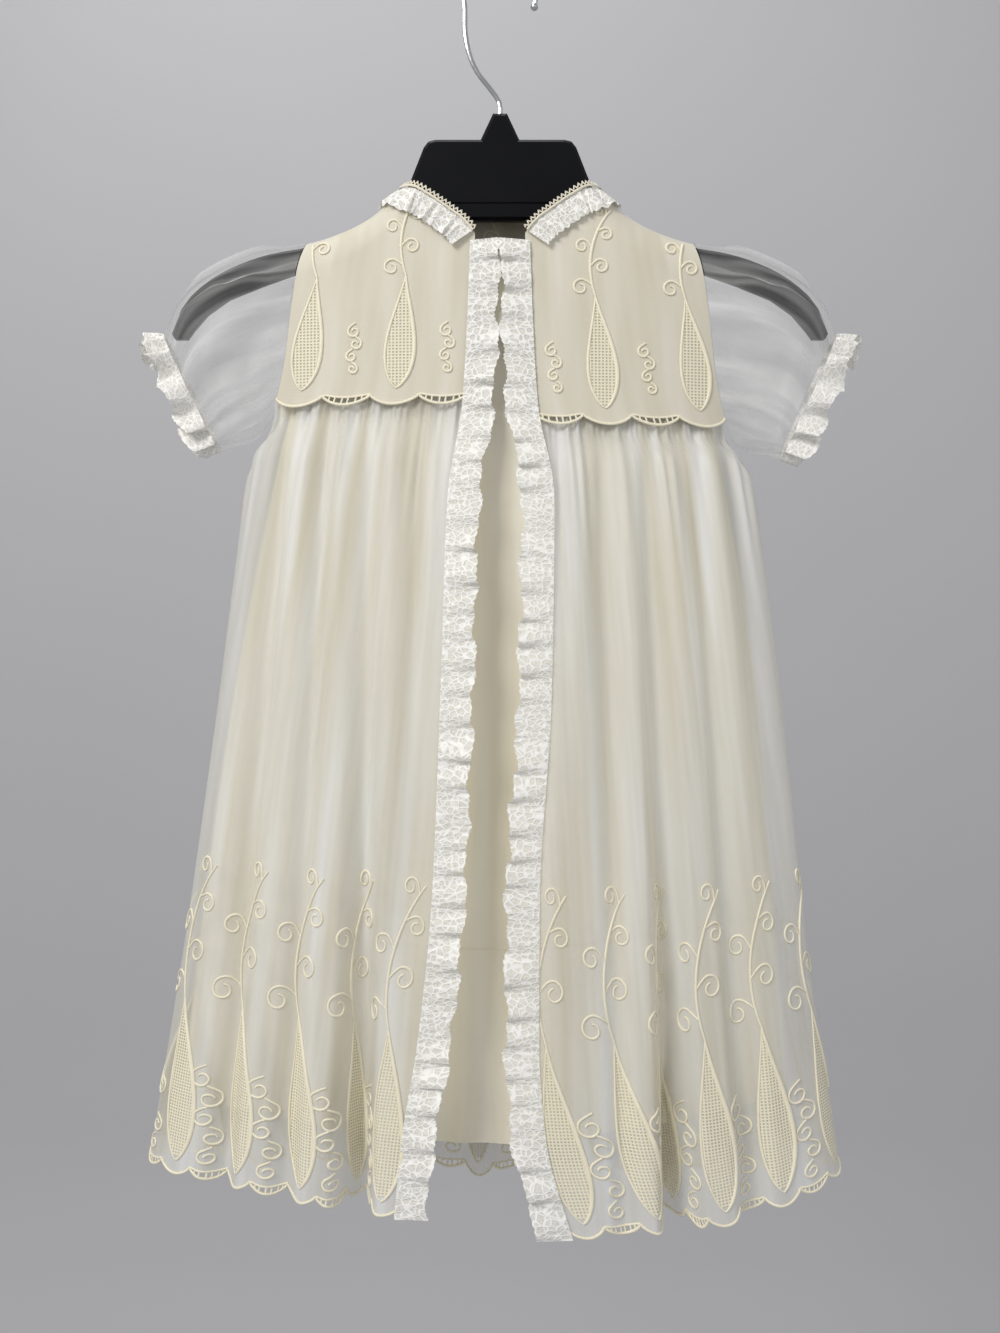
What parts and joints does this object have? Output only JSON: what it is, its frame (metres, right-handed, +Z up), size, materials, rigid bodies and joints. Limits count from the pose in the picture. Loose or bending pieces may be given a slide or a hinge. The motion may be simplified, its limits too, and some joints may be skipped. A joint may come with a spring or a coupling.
{
  "type": "christening gown on a hanger",
  "caption": "Infant's sheer organza gown with yoke, puffed sleeves, lace edges and scalloped hem over a plain slip, open down the front, on a plate hanger with a wire hook.",
  "frame": {"origin": "inner top of the hanger's hook, where a rail carries it", "axes": "+Z up, +X to the right as the open front is seen, +Y to the back"},
  "size_m": [0.4682, 0.1217, 0.8091],
  "materials": {
    "organza": "sheer cream nylon organza with a soft sheen",
    "slip_cloth": "plain cream woven lining cloth",
    "lace": "gathered white nylon lace",
    "braid": "looped cream cotton braid",
    "plastic": "moulded black plastic, half gloss",
    "wire": "bright plated steel wire"
  },
  "bodies": {
    "root": {"hanger_body": "plastic", "hanger_hook": "wire", "yoke_front_left": "organza", "yoke_front_right": "organza", "yoke_back": "organza", "skirt_front_left": "organza", "skirt_front_right": "organza", "skirt_back": "organza", "sleeve_left": "organza", "sleeve_right": "organza", "slip_front": "slip_cloth", "slip_back": "slip_cloth", "cuff_lace_left": "lace", "cuff_lace_right": "lace", "neck_lace": "lace", "neck_braid": "braid", "front_lace_left": "lace", "front_lace_right": "lace"}
  },
  "joints": []
}
